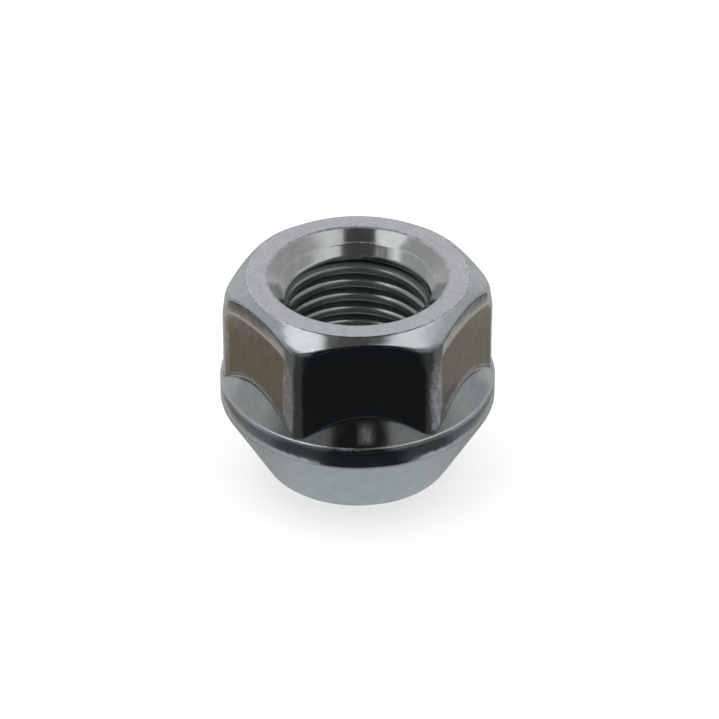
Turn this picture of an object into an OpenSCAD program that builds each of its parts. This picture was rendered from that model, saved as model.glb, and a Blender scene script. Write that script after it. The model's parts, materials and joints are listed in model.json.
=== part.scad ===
// Open lug nut with a 60 degree cone seat, forged and turned in one piece.
// It stands on its small end: the origin is the centre of that end, +Z is the thread's axis
// and one flat faces -Y. All sizes are in millimetres.

/* [Hexagon] */
// Distance across the flats
across_flats = 22; // [19:0.5:27]
// Radius that rounds the six upright corners
corner_radius = 2; // [0.6:0.1:3]
// Whole height, from the small end to the top face
height = 19.75; // [18:0.25:32]
// Width of the top chamfer at the middle of a flat
chamfer_width = 0.85; // [0.3:0.05:1.2]
// Slope of the top chamfer, down from the top face
chamfer_angle = 36; // [20:1:45]
// Radius of the top face's inner and outer edges
top_edge_radius = 0.3; // [0.1:0.05:0.4]

/* [Rim and seat] */
// How far the foot of the shoulder lies outside the hexagon's corners
foot_gap = 0.08; // [0.04:0.02:0.5]
// Width of the level ledge on top of the rim, out from the foot of the shoulder
ledge_width = 0.25; // [0.25:0.05:1.5]
// Height of the upright band round the rim, before its edges are rounded
rim_band = 2.15; // [1:0.05:3]
// Radius of the rim's upper edge
rim_upper_radius = 0.2; // [0.1:0.05:0.2]
// Radius of the rim's lower edge
rim_lower_radius = 0.8; // [0.2:0.05:1.5]
// Slope of the shoulder that rises from the ledge to the flats, up from level
shoulder_angle = 60; // [45:1:70]
// Full angle of the cone that seats in the wheel
seat_angle = 60; // [50:1:90]
// Radius between the seat and the small end's face
seat_toe_radius = 0.4; // [0.2:0.05:1]
// Wall between the thread and the seat at the small end
end_wall = 1.65; // [1:0.05:3]

/* [Hole] */
// Nominal diameter of the thread
thread_d = 14; // [12:0.5:16]
// Pitch of the thread
thread_pitch = 1.5; // [1:0.25:2]
// Clearance of the throat over the thread, on each side
throat_clearance = 0; // [0:0.05:0.3]
// Full angle at which the throat narrows downwards
throat_angle = 22; // [10:1:40]
// Depth of the throat
throat_depth = 1.5; // [0.5:0.1:3]
// Width of the countersink, from the throat to the mouth
countersink_width = 1.3; // [0.5:0.05:1.6]
// Full angle of the countersink
countersink_angle = 100; // [80:1:120]
// Full angle of the cone where the thread starts below the throat
lead_angle = 120; // [90:1:140]
// Clearance of the small end's entry chamfer over the thread, on each side
entry_clearance = 0.3; // [0.1:0.05:0.6]
// Full angle of the entry chamfer
entry_angle = 90; // [60:1:120]

/* [Hidden] */
// Facets of the preview; every round is a true circle in the solid
$fn = 96;
// Overlap that keeps cuts and unions from sharing a face
overlap = 1;
// How far a rounding circle stands proud of the faces it joins, so that it cuts them cleanly
hair = 0.0002;
corner_step = 360 / 6;

// Hexagon: the circle on which the centres of the corner rounds lie, and the size over the corners
corner_centre_r = (across_flats / 2 - corner_radius) / cos(corner_step / 2);
over_corners_r = corner_centre_r + corner_radius;
top_face_r = across_flats / 2 - chamfer_width;

// Seat and rim, from the small end up
seat_end_r = thread_d / 2 + end_wall;
shoulder_start_r = over_corners_r + foot_gap;
rim_r = shoulder_start_r + ledge_width;
seat_h = (rim_r - seat_end_r) / tan(seat_angle / 2);
rim_top = seat_h + rim_band;
// The shoulder's cone is carried on inside the hexagon, in to the thread's radius
shoulder_end_r = thread_d / 2;
shoulder_end_z = rim_top + (shoulder_start_r - shoulder_end_r) * tan(shoulder_angle);

// Hole, from the mouth down
bore_r = (thread_d - thread_pitch) / 2;
throat_r = thread_d / 2 + throat_clearance;
mouth_r = throat_r + countersink_width;
countersink_z = height - countersink_width / tan(countersink_angle / 2);
throat_z = countersink_z - throat_depth;
throat_end_r = throat_r - throat_depth * tan(throat_angle / 2);
lead_z = throat_z - (throat_end_r - bore_r) / tan(lead_angle / 2);
entry_r = thread_d / 2 + entry_clearance;
entry_h = (entry_r - bore_r) / tan(entry_angle / 2);

// Rounds a convex corner of an outline: takes the tip off and sets a tangent circle in its place.
// The corner is at tip; its two edges leave it at the angles from_a and to_a, with the solid between.
module rounded_tip(tip, from_a, to_a, r) {
    half = (to_a - from_a) / 2;
    inward = [cos(from_a + half), sin(from_a + half)];
    reach = r / tan(half);
    difference() {
        children();
        polygon([
            tip - overlap * inward,
            tip + reach * [cos(from_a), sin(from_a)],
            tip + reach * [cos(to_a), sin(to_a)],
        ]);
    }
    translate(tip + r / sin(half) * inward)
        circle(r + hair);
}

// Hexagon with rounded corners, two of its flats facing along Y
module hexagon_outline() {
    for (k = [0:2])
        rotate(k * corner_step)
            square([corner_centre_r, across_flats], center = true);
    for (k = [0:5])
        rotate(k * corner_step)
            translate([corner_centre_r, 0])
                circle(corner_radius + hair);
}

// Half section of the seat, the rim with its ledge and the shoulder, as if there were no hole
module seat_section() {
    rounded_tip([seat_end_r, 0], 90 - seat_angle / 2, 180, seat_toe_radius)
        rounded_tip([rim_r, seat_h], 90, 270 - seat_angle / 2, rim_lower_radius)
            rounded_tip([rim_r, rim_top], 180, 270, rim_upper_radius)
                polygon([
                    [0, 0],
                    [seat_end_r, 0],
                    [rim_r, seat_h],
                    [rim_r, rim_top],
                    [shoulder_start_r, rim_top],
                    [shoulder_end_r, shoulder_end_z],
                    [0, shoulder_end_z],
                ]);
}

// Half section of what the lathe leaves: the hole, the top face and the chamfer, wide enough for the rim
module turned_section() {
    reach = rim_r + overlap;
    rounded_tip([mouth_r, height], 270 - countersink_angle / 2, 360, top_edge_radius)
        rounded_tip([top_face_r, height], 180, 360 - chamfer_angle, top_edge_radius)
            polygon([
                [entry_r + overlap * tan(entry_angle / 2), -overlap],
                [reach, -overlap],
                [reach, height - (reach - top_face_r) * tan(chamfer_angle)],
                [top_face_r, height],
                [mouth_r, height],
                [throat_r, countersink_z],
                [throat_end_r, throat_z],
                [bore_r, lead_z],
                [bore_r, entry_h],
            ]);
}

module lug_nut() {
    color("slategray")
        intersection() {
            union() {
                rotate_extrude()
                    seat_section();
                translate([0, 0, seat_h])
                    linear_extrude(height)
                        hexagon_outline();
            }
            rotate_extrude()
                turned_section();
        }
}

lug_nut();
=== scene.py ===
import json
from math import cos, pi, radians, sin, tan

import bpy
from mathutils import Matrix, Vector


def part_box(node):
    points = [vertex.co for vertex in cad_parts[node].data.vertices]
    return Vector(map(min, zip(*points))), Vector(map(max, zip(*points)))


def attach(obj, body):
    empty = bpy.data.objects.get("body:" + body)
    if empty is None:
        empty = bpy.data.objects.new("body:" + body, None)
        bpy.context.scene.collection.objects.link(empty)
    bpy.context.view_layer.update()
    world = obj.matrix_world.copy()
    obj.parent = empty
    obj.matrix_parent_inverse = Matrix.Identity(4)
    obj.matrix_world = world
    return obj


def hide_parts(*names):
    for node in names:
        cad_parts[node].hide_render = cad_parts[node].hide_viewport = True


# Open lug nut in zinc plated steel, standing on its small end.
# The nut is one mesh, made by one Geometry Nodes tree that turns its section round the hexagon
# and winds the thread into the hole. All lengths are metres.

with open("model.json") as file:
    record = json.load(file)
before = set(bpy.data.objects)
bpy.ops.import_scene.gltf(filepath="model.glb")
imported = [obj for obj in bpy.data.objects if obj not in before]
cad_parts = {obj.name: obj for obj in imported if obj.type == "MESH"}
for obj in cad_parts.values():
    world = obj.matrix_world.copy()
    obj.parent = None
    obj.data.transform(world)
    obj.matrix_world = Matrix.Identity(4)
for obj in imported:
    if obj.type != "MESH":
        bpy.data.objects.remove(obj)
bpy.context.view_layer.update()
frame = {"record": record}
MM = 0.001

# Sizes that the frame gives
LOW_CORNER, HIGH_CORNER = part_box("lug_nut")
HEIGHT = HIGH_CORNER[2]
RIM_R = (HIGH_CORNER[0] - LOW_CORNER[0]) / 2
THREAD_MOUNT = next(mount for mount in frame["record"]["mounts"] if mount["name"] == "thread")
CREST_R = THREAD_MOUNT["dims"]["r_mm"] * MM

# Hexagon, shoulder and chamfer
ACROSS_FLATS = 22 * MM
CORNER_ROUND = 2 * MM
CORNER_STEP = radians(60)
TOP_FACE_R = 10.15 * MM
CHAMFER_SLOPE = tan(radians(36))
SHOULDER_SLOPE = tan(radians(60))
ARCH_FILLET = 1.3 * MM
TOP_EDGE_ROUND = 0.3 * MM
# The chamfer's lower edge is rounder at the corners, by this much for each unit outside the flats
CHAMFER_ROUND = 0.35 * MM
CHAMFER_ROUND_GAIN = 0.5
# The flats roll over slightly before they meet the chamfer
ROLL_DEPTH = 0.14 * MM
ROLL_HEIGHT = 1.4 * MM
ROLL_ROUND = 4 * MM
# They roll over twice as far near the corners, and start lower by this share of the roll's height.
# The change comes between two distances outside the flats.
NECK_START = 0.9 * MM
NECK_FULL = 1.35 * MM
NECK_HEIGHT_GAIN = 0.5

# Seat and rim
SEAT_END_R = 8.65 * MM
SEAT_SLOPE = 1 / tan(radians(30))
SEAT_TOP = (RIM_R - SEAT_END_R) * SEAT_SLOPE
RIM_BAND = 2.15 * MM
RIM_TOP = SEAT_TOP + RIM_BAND
LEDGE_WIDTH = 0.25 * MM
FOOT_R = RIM_R - LEDGE_WIDTH
RIM_UPPER_ROUND = 0.2 * MM
RIM_LOWER_ROUND = 0.8 * MM
FOOT_FILLET = 0.1 * MM
SEAT_TOE_ROUND = 0.4 * MM

# Hole and thread
PITCH = 1.5 * MM
THREAD_HALF_ANGLE = radians(30)
SHARP_R = 7.1 * MM
MOUTH_R = 8.3 * MM
THROAT_R = 7.0 * MM
COUNTERSINK_HALF_ANGLE = radians(50)
COUNTERSINK_Z = HEIGHT - (MOUTH_R - THROAT_R) / tan(COUNTERSINK_HALF_ANGLE)
THROAT_SLOPE = tan(radians(11))
THROAT_DEPTH = 1.5 * MM
THROAT_Z = COUNTERSINK_Z - THROAT_DEPTH
THROAT_END_R = THROAT_R - THROAT_DEPTH * THROAT_SLOPE
THROAT_ROUND = 0.12 * MM
LEAD_SLOPE = tan(radians(60))
ENTRY_R = 7.3 * MM
CREST_ROUND = 0.16 * MM
THREAD_PHASE = 0.2

# Unevenness of the forged faces, always inwards
WAVE_DEPTH = 0.02 * MM
WAVE_LENGTH = 2.2 * MM

# Mesh density. Columns crowd towards the corners, and rows towards the thread's crests and roots.
FLAT_COLUMNS = 24
CORNER_COLUMNS = 16
COLUMN_CROWDING = 0.8
FLAT_ROWS = 18
ROWS_PER_TURN = 14
ROW_CROWDING = 0.75
ROUND_STEPS = 6
WELD_DISTANCE = 0.001 * MM


# Node trees written as sums

class Field:
    """A number in a node tree. A sum of fields adds Math nodes to the tree."""

    def __init__(self, tree, socket):
        self.tree = tree
        self.socket = socket

    def __add__(self, other):
        return calc(self.tree, "ADD", self, other)

    def __radd__(self, other):
        return calc(self.tree, "ADD", other, self)

    def __sub__(self, other):
        return calc(self.tree, "SUBTRACT", self, other)

    def __rsub__(self, other):
        return calc(self.tree, "SUBTRACT", other, self)

    def __mul__(self, other):
        return calc(self.tree, "MULTIPLY", self, other)

    def __truediv__(self, other):
        return calc(self.tree, "DIVIDE", self, other)

    def __neg__(self):
        return calc(self.tree, "MULTIPLY", self, -1.0)


def feed(tree, socket, source):
    """Links a field or socket to an input socket, or sets a plain value on it."""
    if isinstance(source, Field):
        tree.links.new(source.socket, socket)
    elif isinstance(source, bpy.types.NodeSocket):
        tree.links.new(source, socket)
    else:
        socket.default_value = source


def add_node(tree, kind, feeds=None, **settings):
    """Adds a node, sets its properties, then feeds the inputs that are named."""
    made = tree.nodes.new(kind)
    for name, value in settings.items():
        setattr(made, name, value)
    for name, source in (feeds or {}).items():
        socket = next(s for s in made.inputs if s.name == name and s.enabled)
        feed(tree, socket, source)
    return made


def calc(tree, operation, *parts):
    made = tree.nodes.new("ShaderNodeMath")
    made.operation = operation
    for socket, part in zip(made.inputs, parts):
        feed(tree, socket, part)
    return Field(tree, made.outputs[0])


def ramp(field, low, high):
    """Rises smoothly from 0 at low to 1 at high."""
    made = add_node(
        field.tree,
        "ShaderNodeMapRange",
        {"Value": field, "From Min": low, "From Max": high},
        interpolation_type="SMOOTHSTEP",
    )
    return Field(field.tree, made.outputs["Result"])


def fall(field, low, high):
    """Falls smoothly from 1 at low to 0 at high."""
    return 1.0 - ramp(field, low, high)


def larger(first, second):
    return calc(first.tree, "MAXIMUM", first, second)


def smaller(first, second):
    return calc(first.tree, "MINIMUM", first, second)


def whole(field):
    return calc(field.tree, "FLOOR", field)


def length_of(x, y):
    return calc(x.tree, "SQRT", x * x + y * y)


def join_xyz(tree, x, y, z):
    return add_node(tree, "ShaderNodeCombineXYZ", {"X": x, "Y": y, "Z": z}).outputs[0]


def split_xyz(tree, vector):
    made = add_node(tree, "ShaderNodeSeparateXYZ", {"Vector": vector})
    return [Field(tree, socket) for socket in made.outputs]


def noise(tree, place, scale, detail=3.0, roughness=0.5):
    made = add_node(
        tree,
        "ShaderNodeTexNoise",
        {"Vector": place, "Scale": scale, "Detail": detail, "Roughness": roughness},
    )
    return Field(tree, made.outputs[0])


# Geometry Nodes tree of the nut

def hexagon_column(column, sizes):
    """Outline point of the rounded hexagon at a column: its direction, radius and turn."""
    tree = column.tree
    per_side = sizes["Flat Columns"] + sizes["Corner Columns"]
    half_flat = sizes["Across Flats"] / 2
    inset = half_flat - sizes["Corner Round"]
    half_side = inset * tan(CORNER_STEP / 2)
    side = whole((column + 0.5) / per_side)
    step = column - side * per_side
    along = calc(tree, "MINIMUM", step / sizes["Flat Columns"], 1.0)
    crowded = along - calc(tree, "SINE", along * (2 * pi)) * (COLUMN_CROWDING / (2 * pi))
    bend = calc(tree, "MAXIMUM", (step - sizes["Flat Columns"]) / sizes["Corner Columns"], 0.0)
    swing = bend * CORNER_STEP - pi / 2
    x = half_side * (crowded * 2.0 - 1.0) + sizes["Corner Round"] * calc(tree, "COSINE", swing)
    y = sizes["Corner Round"] * calc(tree, "SINE", swing) - inset
    start = calc(tree, "ARCTAN2", -half_flat, -half_side)
    turn = (calc(tree, "ARCTAN2", y, x) - start) / (2 * pi) + side / 6
    angle = turn * (2 * pi) + start
    direction = (calc(tree, "COSINE", angle), calc(tree, "SINE", angle))
    return direction, length_of(x, y), turn


def between(start, end, shares):
    """Plain points on the straight run between two section points, as shares of its length."""
    return [
        (start[0] + (end[0] - start[0]) * share, start[1] + (end[1] - start[1]) * share, 0.0, end[3])
        for share in shares
    ]


def nut_section(radius, sizes):
    """Section from the entry up the outside and down to the throat: (radius, height, round, zone).

    The zone names the run that ends at the point."""
    foot_r = sizes["Rim Radius"] - sizes["Ledge Width"]
    arch_z = sizes["Rim Top"] + (foot_r - radius) * SHOULDER_SLOPE
    neck = ramp(radius - sizes["Across Flats"] / 2, NECK_START, NECK_FULL)
    chamfer_r = radius - sizes["Roll Depth"] * (1.0 + neck)
    chamfer_z = sizes["Height"] - (chamfer_r - sizes["Top Face Radius"]) * CHAMFER_SLOPE

    entry = (sizes["Entry Radius"], 0.0, 0.0, "end")
    toe = (sizes["Seat End Radius"], 0.0, SEAT_TOE_ROUND, "seat")
    rim_low = (sizes["Rim Radius"], sizes["Seat Top"], RIM_LOWER_ROUND, "seat")
    rim_high = (sizes["Rim Radius"], sizes["Rim Top"], RIM_UPPER_ROUND, "rim")
    foot = (foot_r, sizes["Rim Top"], FOOT_FILLET, "rim")
    arch = (radius, arch_z, ARCH_FILLET, "shoulder")
    bend_z = chamfer_z - sizes["Roll Height"] * (1.0 + neck * NECK_HEIGHT_GAIN)
    bend = (radius, bend_z, ROLL_ROUND, "flat")
    chamfer_round = (radius - sizes["Across Flats"] / 2) * CHAMFER_ROUND_GAIN + CHAMFER_ROUND
    chamfer = (chamfer_r, chamfer_z, chamfer_round, "flat")
    top_outer = (sizes["Top Face Radius"], sizes["Height"], TOP_EDGE_ROUND, "chamfer")
    top_inner = (sizes["Mouth Radius"], sizes["Height"], TOP_EDGE_ROUND, "ring")
    throat = (sizes["Throat Radius"], sizes["Countersink Z"], THROAT_ROUND, "hole")
    last = (sizes["Throat End Radius"], sizes["Throat Z"], 0.0, "hole")
    return [
        entry,
        *between(entry, toe, (0.3, 0.6)),
        toe,
        *between(toe, rim_low, (0.05, 0.07, 0.2, 0.35, 0.5, 0.65, 0.8, 0.95, 0.97)),
        rim_low,
        *between(rim_low, rim_high, (0.12, 0.14, 0.4, 0.65, 0.88, 0.9)),
        rim_high,
        foot,
        *between(foot, arch, (0.15, 0.3, 0.45, 0.6, 0.75)),
        arch,
        *between(arch, bend, [0.08 + 0.84 * n / FLAT_ROWS for n in range(FLAT_ROWS + 1)]),
        bend,
        chamfer,
        *between(chamfer, top_outer, (0.5, 0.75)),
        top_outer,
        *between(top_outer, top_inner, (0.06, 0.08, 0.35, 0.65, 0.85, 0.88)),
        top_inner,
        *between(top_inner, throat, (0.12, 0.14, 0.3, 0.5, 0.7, 0.92, 0.95)),
        throat,
        *between(throat, last, (0.12, 0.15, 0.4, 0.7)),
        last,
    ]


# Zones of the section that the plating tells apart, three in each vector attribute
ZONE_SETS = {"upper": ("ring", "chamfer", "hole"), "lower": ("flat", "shoulder", "seat")}


def choose(tree, index, choices):
    """Index Switch over a list of numbers and fields."""
    made = add_node(tree, "GeometryNodeIndexSwitch", data_type="FLOAT")
    while len(made.index_switch_items) < len(choices):
        made.index_switch_items.new()
    feed(tree, made.inputs[0], index)
    for socket, choice in zip(made.inputs[1:], choices):
        feed(tree, socket, choice)
    return Field(tree, made.outputs[0])


def sample(tree, geometry, value, index, kind):
    made = add_node(
        tree,
        "GeometryNodeSampleIndex",
        {"Geometry": geometry, "Index": index},
        data_type=kind,
        domain="POINT",
    )
    feed(tree, next(s for s in made.inputs if s.name == "Value" and s.enabled), value)
    return next(s for s in made.outputs if s.enabled)


def store(tree, geometry, name, value, kind="FLOAT"):
    made = add_node(
        tree,
        "GeometryNodeStoreNamedAttribute",
        {"Geometry": geometry, "Name": name},
        data_type=kind,
        domain="POINT",
    )
    feed(tree, next(s for s in made.inputs if s.name == "Value" and s.enabled), value)
    return made.outputs[0]


def named(tree, name, kind="FLOAT"):
    made = add_node(tree, "GeometryNodeInputNamedAttribute", {"Name": name}, data_type=kind)
    return next(s for s in made.outputs if s.name == "Attribute" and s.enabled)


def set_position(tree, geometry, place):
    made = add_node(tree, "GeometryNodeSetPosition", {"Geometry": geometry, "Position": place})
    return made.outputs[0]


def body_of_nut(tree, index, sizes):
    """Everything but the thread: one section for each column, rounded, then skinned as a grid."""
    columns = (sizes["Flat Columns"] + sizes["Corner Columns"]) * 6
    count = len(nut_section(sizes["Across Flats"] / 2, sizes))
    column = whole((index + 0.5) / count)
    station = index - column * count
    direction, radius, _ = hexagon_column(column, sizes)
    section = nut_section(radius, sizes)
    out = choose(tree, station, [point[0] for point in section])
    up = choose(tree, station, [point[1] for point in section])
    rounding = choose(tree, station, [point[2] for point in section])

    line = add_node(tree, "GeometryNodeCurvePrimitiveLine").outputs[0]
    line = add_node(tree, "GeometryNodeResampleCurve", {"Curve": line, "Count": count}).outputs[0]
    lines = add_node(
        tree, "GeometryNodeDuplicateElements", {"Geometry": line, "Amount": columns}, domain="SPLINE"
    ).outputs[0]
    lines = set_position(tree, lines, join_xyz(tree, direction[0] * out, direction[1] * out, up))
    for name, zones in ZONE_SETS.items():
        switches = [[float(point[3] == zone) for point in section] for zone in zones]
        shares = [choose(tree, station, switch) for switch in switches]
        lines = store(tree, lines, name, join_xyz(tree, *shares), "FLOAT_VECTOR")
    lines = store(tree, lines, "rounding", rounding)
    lines = add_node(
        tree,
        "GeometryNodeFilletCurve",
        {"Curve": lines, "Count": ROUND_STEPS, "Radius": named(tree, "rounding"), "Limit Radius": True},
        mode="POLY",
    ).outputs[0]

    size = add_node(tree, "GeometryNodeAttributeDomainSize", {"Geometry": lines}, component="CURVE")
    total = Field(tree, size.outputs["Point Count"])
    skin = add_node(
        tree, "GeometryNodeMeshGrid", {"Vertices X": columns + 1, "Vertices Y": total / columns}
    ).outputs[0]
    wrapped = calc(tree, "MODULO", index + 0.25, total)
    at = add_node(tree, "GeometryNodeInputPosition").outputs[0]
    skin = set_position(tree, skin, sample(tree, lines, at, wrapped, "FLOAT_VECTOR"))
    for name in ZONE_SETS:
        zones = sample(tree, lines, named(tree, name, "FLOAT_VECTOR"), wrapped, "FLOAT_VECTOR")
        skin = store(tree, skin, name, zones, "FLOAT_VECTOR")
    return store(tree, skin, "thread", 0.0)


def thread_of_nut(tree, index, sizes):
    """The threaded wall with its lead and entry: rows that climb one pitch for each turn, then a lip."""
    columns = (sizes["Flat Columns"] + sizes["Corner Columns"]) * 6
    per_turn = sizes["Rows Per Turn"]
    rows = whole((sizes["Throat Z"] / sizes["Pitch"] + 3.0) * per_turn)
    grid = add_node(
        tree, "GeometryNodeMeshGrid", {"Vertices X": columns + 1, "Vertices Y": rows}
    ).outputs[0]
    column = whole((index + 0.5) / rows)
    direction, _, turn = hexagon_column(column, sizes)
    row = index - column * rows
    lift = row / per_turn
    crowded = lift - calc(tree, "SINE", lift * (4 * pi)) * (ROW_CROWDING / (4 * pi))
    climb = (crowded + turn + sizes["Thread Phase"] - 2.0) * sizes["Pitch"]
    up = smaller(larger(climb, 0.0), sizes["Throat Z"])
    phase = calc(tree, "FRACT", up / sizes["Pitch"] - turn - sizes["Thread Phase"] + 2.0)
    from_root = calc(tree, "ABSOLUTE", phase - 0.5)
    flank = sizes["Sharp Radius"] - from_root * sizes["Pitch"] / tan(THREAD_HALF_ANGLE)
    groove = calc(tree, "SMOOTH_MAX", flank, sizes["Crest Radius"], CREST_ROUND)
    lead = sizes["Throat End Radius"] - (sizes["Throat Z"] - up) * LEAD_SLOPE
    wall = larger(groove, lead)
    wall = larger(wall, sizes["Entry Radius"] - up)
    is_lip = calc(tree, "GREATER_THAN", row + 1.5, rows)
    wall = wall + (sizes["Throat End Radius"] - wall) * is_lip
    skin = set_position(tree, grid, join_xyz(tree, direction[0] * wall, direction[1] * wall, up))
    return store(tree, skin, "thread", 1.0)


def uneven(tree, geometry):
    """Lets the forged faces sink in soft waves."""
    at = add_node(tree, "GeometryNodeInputPosition").outputs[0]
    facing = add_node(tree, "GeometryNodeInputNormal").outputs[0]
    forged = 1.0 - Field(tree, named(tree, "thread"))
    depth = ramp(noise(tree, at, 1 / WAVE_LENGTH, 1.0), 0.3, 0.75) * forged * (-WAVE_DEPTH)
    sink = add_node(tree, "ShaderNodeVectorMath", {"Vector": facing, "Scale": depth}, operation="SCALE")
    return add_node(
        tree, "GeometryNodeSetPosition", {"Geometry": geometry, "Offset": sink.outputs[0]}
    ).outputs[0]


# Named inputs of the tree
NUT_SIZES = {
    "Across Flats": ACROSS_FLATS,
    "Corner Round": CORNER_ROUND,
    "Height": HEIGHT,
    "Top Face Radius": TOP_FACE_R,
    "Roll Depth": ROLL_DEPTH,
    "Roll Height": ROLL_HEIGHT,
    "Rim Radius": RIM_R,
    "Rim Top": RIM_TOP,
    "Ledge Width": LEDGE_WIDTH,
    "Seat Top": SEAT_TOP,
    "Seat End Radius": SEAT_END_R,
    "Mouth Radius": MOUTH_R,
    "Throat Radius": THROAT_R,
    "Throat Z": THROAT_Z,
    "Countersink Z": COUNTERSINK_Z,
    "Throat End Radius": THROAT_END_R,
    "Pitch": PITCH,
    "Crest Radius": CREST_R,
    "Sharp Radius": SHARP_R,
    "Thread Phase": THREAD_PHASE,
    "Entry Radius": ENTRY_R,
    "Flat Columns": FLAT_COLUMNS,
    "Corner Columns": CORNER_COLUMNS,
    "Rows Per Turn": ROWS_PER_TURN,
}


def nut_tree():
    tree = bpy.data.node_groups.new("turned_nut", "GeometryNodeTree")
    for name, value in NUT_SIZES.items():
        kind = "NodeSocketInt" if isinstance(value, int) else "NodeSocketFloat"
        tree.interface.new_socket(name, in_out="INPUT", socket_type=kind)
    tree.interface.new_socket("Plating", in_out="INPUT", socket_type="NodeSocketMaterial")
    tree.interface.new_socket("Geometry", in_out="OUTPUT", socket_type="NodeSocketGeometry")
    entrance = tree.nodes.new("NodeGroupInput")
    sizes = {name: Field(tree, entrance.outputs[name]) for name in NUT_SIZES}
    index = Field(tree, add_node(tree, "GeometryNodeInputIndex").outputs[0])
    joined = tree.nodes.new("GeometryNodeJoinGeometry")
    tree.links.new(body_of_nut(tree, index, sizes), joined.inputs[0])
    tree.links.new(thread_of_nut(tree, index, sizes), joined.inputs[0])
    closed = add_node(
        tree, "GeometryNodeMergeByDistance", {"Geometry": joined.outputs[0], "Distance": WELD_DISTANCE}
    ).outputs[0]
    smooth = add_node(tree, "GeometryNodeSetShadeSmooth", {"Geometry": uneven(tree, closed)}).outputs[0]
    real = add_node(tree, "GeometryNodeRealizeInstances", {"Geometry": smooth}).outputs[0]
    plated = add_node(
        tree, "GeometryNodeSetMaterial", {"Geometry": real, "Material": entrance.outputs["Plating"]}
    ).outputs[0]
    leaving = tree.nodes.new("NodeGroupOutput")
    tree.links.new(plated, leaving.inputs["Geometry"])
    return tree


def make_nut(plating):
    """Runs the tree once and keeps its result as a plain mesh."""
    tree = nut_tree()
    values = {**NUT_SIZES, "Plating": plating}
    nut = bpy.data.objects.new("lug_nut_turned", bpy.data.meshes.new("lug_nut_turned"))
    bpy.context.scene.collection.objects.link(nut)
    modifier = nut.modifiers.new("turned_nut", "NODES")
    modifier.node_group = tree
    for item in tree.interface.items_tree:
        if item.in_out == "INPUT":
            modifier[item.identifier] = values[item.name]
    graph = bpy.context.evaluated_depsgraph_get()
    mesh = bpy.data.meshes.new_from_object(nut.evaluated_get(graph), depsgraph=graph)
    nut.modifiers.clear()
    nut.data = mesh
    mesh.name = "lug_nut_turned"
    return nut


# Shader helpers

def new_material(name):
    material = bpy.data.materials.new(name)
    material.use_nodes = True
    return material, material.node_tree, material.node_tree.nodes["Principled BSDF"]


def mix_colours(tree, share, first, second):
    made = add_node(tree, "ShaderNodeMix", data_type="RGBA")
    sockets = [socket for socket in made.inputs if socket.enabled]
    for socket, source in zip(sockets, (share, first, second)):
        feed(tree, socket, (*source, 1.0) if isinstance(source, tuple) else source)
    return next(socket for socket in made.outputs if socket.enabled)


def stretched(tree, place, factors):
    made = add_node(tree, "ShaderNodeVectorMath", operation="MULTIPLY")
    feed(tree, made.inputs[0], place)
    feed(tree, made.inputs[1], factors)
    return made.outputs[0]


def attribute(tree, name):
    return add_node(tree, "ShaderNodeAttribute", attribute_name=name)


def in_band(field, low, high, soft):
    """1 between low and high, with soft edges."""
    return ramp(field, low - soft, low + soft) * fall(field, high - soft, high + soft)


# Zinc plating. The places in it are millimetres in the nut's own frame.

ZINC = (0.61, 0.64, 0.655)
ZINC_RING = (0.685, 0.70, 0.755)
ZINC_FLAT = (0.62, 0.605, 0.575)
ZINC_FLAT_WARM = (0.63, 0.57, 0.54)
ZINC_HOLE = (0.525, 0.545, 0.54)
ZINC_THREAD = (0.44, 0.50, 0.47)
# Dark colour for painted shade on the top turn of the thread, under the throat
RUN_OUT_SHADE = (0.15, 0.18, 0.17)
# Pale colour of the scuffs and of the painted highlights on the arches and the ledge
PALE_SCUFF_AND_HIGHLIGHT = (0.77, 0.80, 0.86)
SCRATCHED = (0.85, 0.85, 0.83)
PITTED = (0.12, 0.12, 0.13)
DARK_PATCH = (0.06, 0.057, 0.052)
SHADED = (0.3, 0.3, 0.3)
THROAT_LEAN = 1.05
LEDGE_LEAN = 0.45
BAND_LEAN = 0.45
RIM_LEAN = 0.4
BUMP_DEPTH = 0.002 * MM


def contour(field, width):
    """Thin wandering lines, where a noise crosses its middle."""
    return fall(calc(field.tree, "ABSOLUTE", field - 0.5), width * 0.4, width)


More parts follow.
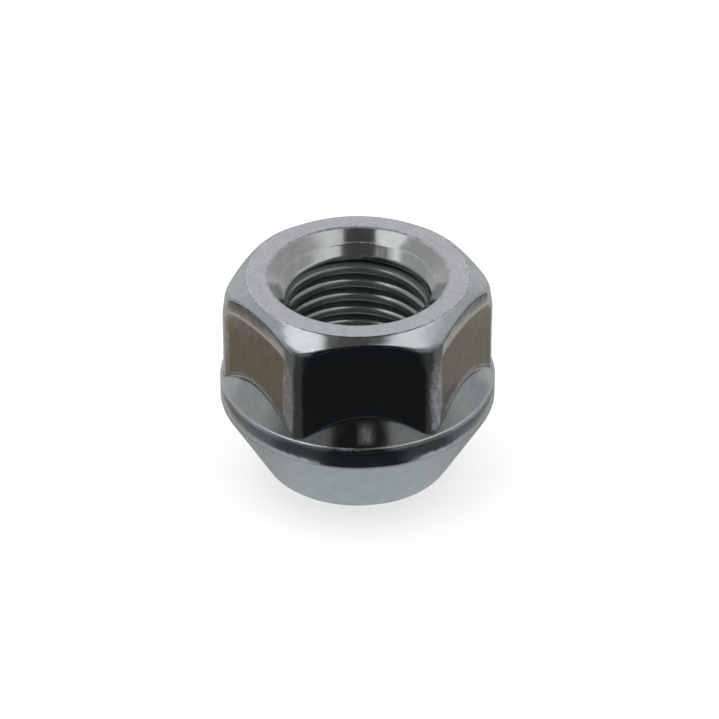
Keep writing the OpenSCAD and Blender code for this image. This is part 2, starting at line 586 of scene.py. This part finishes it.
def zinc_plating():
    material, tree, shader = new_material("zinc_plating")
    coordinates = add_node(tree, "ShaderNodeTexCoord").outputs["Object"]
    place = stretched(tree, coordinates, (1 / MM, 1 / MM, 1 / MM))
    x, y, z = split_xyz(tree, place)
    radius = length_of(x, y)
    right = ramp(x, -1.0, 1.0)
    off_front = fall(-y / radius, 0.8, 0.84)
    top = HEIGHT / MM
    rim_out = RIM_R / MM
    rim_top = RIM_TOP / MM
    seat_top = SEAT_TOP / MM
    ring_out = TOP_FACE_R / MM
    mouth = MOUTH_R / MM
    crest = CREST_R / MM
    throat_out = THROAT_R / MM
    throat_low = THROAT_Z / MM
    throat_high = COUNTERSINK_Z / MM
    ring, chamfer, hole = split_xyz(tree, attribute(tree, "upper").outputs["Vector"])
    flat, shoulder, seat = split_xyz(tree, attribute(tree, "lower").outputs["Vector"])
    thread = Field(tree, attribute(tree, "thread").outputs["Fac"])
    sixth = calc(tree, "FRACT", calc(tree, "ARCTAN2", y, x) / CORNER_STEP + 0.5)
    # Degrees from the nearest corner. The front corners are worn a few degrees beside it.
    aside = (calc(tree, "SIGN", x) * 3.4 - 1.4) * ramp(-y, 5.0, 9.0)
    from_corner = calc(tree, "ABSOLUTE", (sixth - 0.5) * 60.0 - aside)

    mottle = noise(tree, place, 0.9, 6.0, 0.65)
    grain = noise(tree, place, 7.0, 3.0)
    dots = noise(tree, place, 5.0, 1.0)
    blotch = noise(tree, place, 2.6, 4.0, 0.6)
    upright = noise(tree, stretched(tree, place, (4.0, 4.0, 0.5)), 1.0, 4.0, 0.6)
    strokes = noise(tree, stretched(tree, place, (2.4, 2.4, 0.6)), 1.0, 2.0, 0.5)
    patches = noise(tree, stretched(tree, place, (1.5, 1.5, 1.0)), 1.0, 4.0, 0.6)
    lying = noise(tree, stretched(tree, place, (0.8, 0.8, 6.0)), 1.0, 4.0, 0.6)
    slanted = join_xyz(tree, x + z * 0.7, y + z * 0.7, z - x * 0.5)
    slanting = noise(tree, stretched(tree, slanted, (0.7, 0.7, 0.25)), 1.0, 2.0, 0.5)

    # Scuffs and painted highlights, paler and duller: scuffs on the corners, rolled edges, rim and the
    # front of the shoulder, painted highlights along the arches and on the ledge
    far_left = ramp(-x, 10.3, 11.3) * fall(-y, 3.0, 5.0)
    worn_width = 3.6 + far_left * 3.5 - calc(tree, "ABSOLUTE", z - 13.0) * 0.3
    corner_scuff = flat * fall(from_corner - worn_width + mottle * 2.0, 0.0, 2.2)
    corner_scuff = corner_scuff * fall(z, top - 4.25, top - 2.25)
    corner_scuff = corner_scuff * (0.3 + ramp(strokes * 0.6 + blotch * 0.5, 0.45, 0.68) * 0.5)
    corner_scuff = corner_scuff * (0.8 + right * 0.55)
    under_chamfer = z + (radius - (TOP_FACE_R + ROLL_DEPTH) / MM) * CHAMFER_SLOPE
    below_roll = flat * fall(under_chamfer, top - 1.35, top - 0.55)
    rolled = flat * ramp(under_chamfer, top - 1.85, top - 1.15) * off_front
    roll_scuff = rolled * ramp(patches * 0.6 + blotch * 0.5, 0.45, 0.7) * 0.2
    off_middle = ramp(calc(tree, "ABSOLUTE", x), 3.0, 6.0)
    rim_edge = in_band(z, seat_top - 0.25, seat_top + 0.55, 0.45) * off_middle
    rim_edge = rim_edge * ramp(radius, rim_out - 0.52, rim_out - 0.32)
    rim_wear = rim_edge * (0.3 + ramp(patches + blotch * 0.1, 0.3, 0.8) * 0.6)
    on_rim = ramp(radius, rim_out - 0.3, rim_out - 0.22)
    # Painted highlight: pale noisy patches on the ledge at the front left
    ledge_highlight = in_band(z, rim_top - 0.15, rim_top + 0.1, 0.06) * on_rim
    ledge_highlight = ledge_highlight * fall(x, -0.5, 1.0) * fall(y, -9.5, -8.5)
    ledge_highlight = ledge_highlight * ramp(patches + blotch * 0.3, 0.5, 0.8) * 0.5
    smear = shoulder * in_band(x, -0.6, 0.65, 0.45) * fall(y, -9.0, -8.0)
    smear = smear * in_band(z, rim_top + 0.3, rim_top + 1.8, 0.6)
    smear = smear * (0.33 + ramp(strokes * 0.6 + upright * 0.4, 0.3, 0.75) * 0.35)
    over_arch = z - rim_top - (FOOT_R / MM - radius) * SHOULDER_SLOPE
    # Painted highlight: a pale patchy line just above the arches, off the front, stronger on the right
    arch_highlight = in_band(over_arch, 0.2, 0.45, 0.12) * off_front
    arch_highlight = arch_highlight * ramp(patches * 0.7 + blotch * 0.5, 0.4, 0.75) * (0.4 + right * 0.4)
    edge_scuff_and_highlight = larger(larger(roll_scuff, ledge_highlight), arch_highlight)
    scuff_and_highlight = larger(larger(corner_scuff, rim_wear * 0.38), larger(smear, edge_scuff_and_highlight))

    # Fine scratches and flecks on the flats, pits on the top ring's edges, and a few elsewhere
    scratches = contour(slanting, 0.012) * ramp(blotch, 0.5, 0.6)
    scratch = flat * larger(scratches, ramp(blotch, 0.62, 0.72) * 0.5)
    outer_line = in_band(radius, ring_out - 0.13, ring_out + 0.07, 0.08)
    inner_line = in_band(radius, mouth - 0.08, mouth + 0.12, 0.08)
    ring_line = larger(outer_line, inner_line)
    on_top = ramp(z, top - 0.45, top - 0.25)
    pits = on_top * ring_line * ramp(blotch * 0.6 + grain * 0.6, 0.58, 0.72) * 0.7
    pits = larger(pits, on_top * ring * ramp(dots, 0.62, 0.74) * 0.4)
    pits = larger(pits, hole * ramp(dots, 0.7, 0.76) * 0.25)

    colour = mix_colours(tree, ring, ZINC, ZINC_RING)
    flat_colour = mix_colours(tree, ramp(patches, 0.4, 0.6), ZINC_FLAT, ZINC_FLAT_WARM)
    colour = mix_colours(tree, below_roll, colour, flat_colour)
    colour = mix_colours(tree, hole, colour, ZINC_HOLE)
    colour = mix_colours(tree, thread, colour, ZINC_THREAD)
    # Painted shade: the flanks and roots of the top turn under the throat are darkened and made rougher
    run_out_shade = thread * ramp(radius, crest + 0.13, crest + 0.25) * ramp(z, 16.1, 16.3)
    colour = mix_colours(tree, run_out_shade, colour, RUN_OUT_SHADE)
    throat = in_band(z, throat_low, throat_high, 0.03)
    throat = throat * in_band(radius, throat_out - 0.4, throat_out + 0.3, 0.05)
    # A dark brownish patch on the throat at the back right
    dark_patch = throat * in_band(x, 2.0, 3.4, 0.6) * ramp(y, 3.0, 4.0)
    dark_patch = dark_patch * (0.8 + ramp(strokes, 0.35, 0.65) * 0.2)
    colour = mix_colours(tree, dark_patch, colour, DARK_PATCH)
    tone = 0.75 + ramp(mottle, 0.3, 0.7) * 0.25
    colour = mix_colours(tree, tone, SHADED, colour)
    colour = mix_colours(tree, scratch * 0.6, colour, SCRATCHED)
    # Pale scuffs, with the painted highlights on the arches and the ledge
    colour = mix_colours(tree, scuff_and_highlight, colour, PALE_SCUFF_AND_HIGHLIGHT)
    colour = mix_colours(tree, pits, colour, PITTED)
    feed(tree, shader.inputs["Base Color"], colour)

    rough = 0.18 + ring * 0.3 + seat * 0.2 - chamfer * 0.03 - hole * 0.06 - flat * 0.03
    rough = rough + (mottle - 0.5) * 0.1 + scuff_and_highlight * 0.25 + run_out_shade * 0.3
    feed(tree, shader.inputs["Roughness"], calc(tree, "MAXIMUM", rough, 0.07))
    feed(tree, shader.inputs["Metallic"], 1.0 - scuff_and_highlight * 0.5 - thread * 0.2)

    # Tool marks let the throat shine like the countersink above it, and the rim's edges are worn round
    outward = in_band(z, rim_top - 0.14, rim_top + 0.2, 0.04) * on_rim * LEDGE_LEAN / radius
    under_ledge = ramp(z, rim_top - 0.75, rim_top - 0.15) * fall(z, rim_top - 0.15, rim_top - 0.1)
    upward = throat * THROAT_LEAN + under_ledge * on_rim * BAND_LEAN
    lean = join_xyz(tree, x * outward, y * outward, upward - rim_wear * RIM_LEAN)
    leaned = add_node(tree, "ShaderNodeVectorMath", operation="ADD")
    feed(tree, leaned.inputs[0], add_node(tree, "ShaderNodeNewGeometry").outputs["Normal"])
    feed(tree, leaned.inputs[1], lean)
    facing = add_node(tree, "ShaderNodeVectorMath", {"Vector": leaned.outputs[0]}, operation="NORMALIZE")
    height = grain * 0.5 + upright * below_roll * 1.2 + lying * (seat + shoulder) * 0.8 - pits * 4.0
    bump = add_node(
        tree,
        "ShaderNodeBump",
        {"Height": height, "Strength": 1.0, "Distance": BUMP_DEPTH, "Normal": facing.outputs[0]},
    )
    feed(tree, shader.inputs["Normal"], bump.outputs[0])
    return material


# Studio: floor, reflector card, lamp, surroundings and camera

def level_sheet(name, reach, height):
    """A square sheet of the stage round the origin."""
    corners = ((-reach, -reach), (reach, -reach), (reach, reach), (-reach, reach))
    mesh = bpy.data.meshes.new(name)
    mesh.from_pydata([(x, y, height) for x, y in corners], [], [(0, 1, 2, 3)])
    made = bpy.data.objects.new(name, mesh)
    bpy.context.scene.collection.objects.link(made)
    return made


def seen_share(tree):
    """1 on rays that show the background: from the camera, in reflections and through glass."""
    path = add_node(tree, "ShaderNodeLightPath")
    total = Field(tree, path.outputs["Is Camera Ray"]) + Field(tree, path.outputs["Is Glossy Ray"])
    total = total + Field(tree, path.outputs["Is Transmission Ray"])
    return calc(tree, "MINIMUM", total, 1.0)


FLOOR_REACH = 3.0
FLOOR_GLOW = 0.58


def make_floor():
    floor = level_sheet("floor", FLOOR_REACH, 0.0)
    material, tree, shader = new_material("pale_floor")
    shader.inputs["Base Color"].default_value = (0.9, 0.9, 0.9, 1.0)
    shader.inputs["Roughness"].default_value = 1.0
    shader.inputs["Specular IOR Level"].default_value = 0.0
    shader.inputs["Emission Color"].default_value = (1.0, 1.0, 1.0, 1.0)
    feed(tree, shader.inputs["Emission Strength"], seen_share(tree) * FLOOR_GLOW)
    floor.data.materials.append(material)


CARD_REACH = 1.5
CARD_HEIGHT = 0.05 * MM
CARD_HOLE = (0.22, 0.24, 0.23)
CARD_SHADED_FLOOR = (0.51, 0.54, 0.56)
CARD_SHADED_FLOOR_SIDE = (0.405, 0.415, 0.41)
CARD_SHADOW_LINE = (0.05, 0.05, 0.05)
CARD_LEFT = (0.178, 0.156, 0.127)
CARD_RIGHT = (0.212, 0.200, 0.175)
CARD_STRIP = (0.6, 0.6, 0.58)
CARD_MIDDLE = (0.13, 0.13, 0.125)
CARD_FAR = (0.04, 0.04, 0.04)
CARD_EDGE = (0.33, 0.34, 0.35)
CARD_BACK = (0.5, 0.5, 0.5)
CARD_GREY = (0.15, 0.155, 0.16)
CARD_DUSK = (0.055, 0.058, 0.06)
CARD_BLACK = (0.010, 0.012, 0.0145)


def card_material():
    """Black before the nut, brown at its sides with a pale strip, grey behind it, pale close to it.
    Close to the nut it carries the nut's painted shadow: the pale floor there is dimmed, and a dark line
    runs round the nut.
    """
    material, tree, shader = new_material("reflector_card")
    coordinates = add_node(tree, "ShaderNodeTexCoord").outputs["Object"]
    place = stretched(tree, coordinates, (1 / MM, 1 / MM, 1 / MM))
    x, y, _ = split_xyz(tree, place)
    radius = length_of(x, y)
    facing = -y / radius
    right = ramp(x, -5.0, 5.0)
    colour = mix_colours(tree, right, CARD_LEFT, CARD_RIGHT)
    # Painted shadow of the nut: a dark line round it
    colour = mix_colours(tree, in_band(radius, 21.3, 22.5, 0.4), colour, CARD_SHADOW_LINE)
    colour = mix_colours(tree, in_band(radius, 36.5, 42.0, 1.5), colour, CARD_STRIP)
    colour = mix_colours(tree, ramp(radius, 43.0, 48.0), colour, CARD_MIDDLE)
    colour = mix_colours(tree, ramp(radius, 60.0, 75.0), colour, CARD_FAR)
    colour = mix_colours(tree, ramp(radius + right * 50.0, 120.0, 160.0), colour, CARD_EDGE)
    colour = mix_colours(tree, fall(facing, -0.55, -0.38), colour, CARD_BACK)
    colour = mix_colours(tree, ramp(facing, -0.02, 0.12), colour, CARD_GREY)
    colour = mix_colours(tree, ramp(facing, 0.42, 0.6), colour, CARD_DUSK)
    colour = mix_colours(tree, ramp(facing, 0.84, 0.955), colour, CARD_BLACK)
    # Painted shadow: the pale floor close to the nut, dimmer towards its sides and back
    under = mix_colours(tree, ramp(facing, 0.3, 0.8), CARD_SHADED_FLOOR_SIDE, CARD_SHADED_FLOOR)
    colour = mix_colours(tree, fall(radius - fall(facing, 0.2, 0.7) * 1.6, 18.3, 20.3), colour, under)
    colour = mix_colours(tree, fall(radius, 8.2, 8.6), colour, CARD_HOLE)
    glow = add_node(tree, "ShaderNodeEmission", {"Color": colour, "Strength": 1.0})
    tree.nodes.remove(shader)
    leaving = next(node for node in tree.nodes if node.type == "OUTPUT_MATERIAL")
    tree.links.new(glow.outputs[0], leaving.inputs["Surface"])
    return material


def make_card():
    """A sheet round and under the nut, just above the floor, that shows only in reflections."""
    card = level_sheet("reflector_card", CARD_REACH, CARD_HEIGHT)
    card.data.materials.append(card_material())
    card.visible_camera = False
    card.visible_diffuse = False
    card.visible_shadow = False


FILL_POWER = 3.8
FILL_SIZE = 1.6
FILL_HEIGHT = 1.0


def make_fill():
    """One wide lamp overhead that lights the floor and the scuffs and isn't mirrored."""
    lamp = bpy.data.lights.new("overhead_fill", "AREA")
    lamp.size = FILL_SIZE
    lamp.energy = FILL_POWER
    made = bpy.data.objects.new("overhead_fill", lamp)
    made.location = (0, 0, FILL_HEIGHT)
    made.visible_camera = False
    made.visible_glossy = False
    bpy.context.scene.collection.objects.link(made)


# Light from each direction. The softboxes are two bands overhead with sharp inner edges.
GLOW_FRONT = 0.01
GLOW_PATCH_LEFT = 0.14
GLOW_PATCH_RIGHT = 0.22
GLOW_SIDE = 0.38
GLOW_SIDE_HIGH = 0.48
GLOW_REAR = 0.6
GLOW_BACK = 0.95
GLOW_TOP = 0.08
BOX_LEFT = 1.14
BOX_RIGHT = 0.97


def make_surroundings():
    """Dark towards the camera, pale at the sides, bright behind, with two softboxes overhead."""
    world = bpy.data.worlds.new("studio")
    bpy.context.scene.world = world
    world.use_nodes = True
    tree = world.node_tree
    background = tree.nodes["Background"]
    coordinates = add_node(tree, "ShaderNodeTexCoord")
    x, y, z = split_xyz(tree, coordinates.outputs["Generated"])
    facing = -y / length_of(x, y)
    right = ramp(x, -0.1, 0.1)

    patch_left = fall(facing, 0.88, 0.915) * GLOW_PATCH_LEFT
    patch_right = fall(facing, 0.915, 0.935) * GLOW_PATCH_RIGHT
    patch = (patch_left + (patch_right - patch_left) * right) * fall(z, 0.5, 0.68)
    patch = patch * (0.3 + ramp(z, 0.05, 0.35) * 0.7)
    side = fall(facing - ramp(z, 0.5, 0.75) * 0.6, -0.05, 0.52)
    rear = fall(facing, -0.82, -0.55)
    back = fall(facing, -0.96, -0.84) * in_band(z, 0.3, 0.8, 0.08)
    side_glow = GLOW_SIDE + ramp(z, 0.2, 0.38) * (GLOW_SIDE_HIGH - GLOW_SIDE)
    side_glow = side_glow + rear * (GLOW_REAR - side_glow)
    side_glow = side_glow * (0.7 + ramp(z, 0.0, 0.03) * 0.3)
    glow = patch + GLOW_FRONT
    glow = glow + (side_glow - glow) * side
    glow = glow + (GLOW_BACK - glow) * back

    height = calc(tree, "MAXIMUM", z, 0.05)
    tilt = y / height
    cut = 0.13 - calc(tree, "MAXIMUM", -tilt - 0.4, 0.0) * 2.0
    lean = calc(tree, "ABSOLUTE", x) / height - right * tilt * 0.475 + (1.0 - right) * cut
    glow = glow + (GLOW_TOP - glow) * ramp(z, 0.65, 0.85) * fall(lean, 0.5, 0.6)
    box = ramp(lean + right * 0.045, 0.43, 0.47) * in_band(tilt, -0.6, 0.65, 0.15)
    box = box * fall(lean, 0.85 - right * 0.21, 0.91)
    glow = glow + (BOX_LEFT + right * (BOX_RIGHT - BOX_LEFT) - glow) * box
    camera_ray = Field(tree, add_node(tree, "ShaderNodeLightPath").outputs["Is Camera Ray"])
    feed(tree, background.inputs["Strength"], glow * (1.0 - camera_ray) + camera_ray)
    background.inputs["Color"].default_value = (1.0, 1.0, 1.0, 1.0)


SENSOR = 36.0
IMAGE_SIDE = 719
CAMERA_AZIMUTH = radians(-3.5)
CAMERA_ELEVATION = radians(34.018)
CAMERA_DISTANCE = 394.6 * MM
PIXELS_PER_METRE = 10.828 / MM
AIM = Vector((0.0, 0.0, 10.112 * MM))
AIM_RIGHT = 0.1721 * MM
AIM_UP = 0.3005 * MM


def make_camera():
    back = Vector(
        (
            sin(CAMERA_AZIMUTH) * cos(CAMERA_ELEVATION),
            -cos(CAMERA_AZIMUTH) * cos(CAMERA_ELEVATION),
            sin(CAMERA_ELEVATION),
        )
    )
    turn = (-back).to_track_quat("-Z", "Y")
    right = turn @ Vector((1, 0, 0))
    up = turn @ Vector((0, 1, 0))
    data = bpy.data.cameras.new("camera")
    data.sensor_width = SENSOR
    data.lens = SENSOR * PIXELS_PER_METRE * CAMERA_DISTANCE / IMAGE_SIDE
    data.clip_start = 0.01
    data.clip_end = 20.0
    camera = bpy.data.objects.new("camera", data)
    camera.rotation_mode = "QUATERNION"
    camera.rotation_quaternion = turn
    camera.location = AIM + right * AIM_RIGHT + up * AIM_UP + back * CAMERA_DISTANCE
    bpy.context.scene.collection.objects.link(camera)
    bpy.context.scene.camera = camera


bpy.context.scene.view_settings.view_transform = "Standard"
make_camera()
make_floor()
make_card()
make_fill()
make_surroundings()
nut = make_nut(zinc_plating())
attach(nut, "root")
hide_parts("lug_nut")
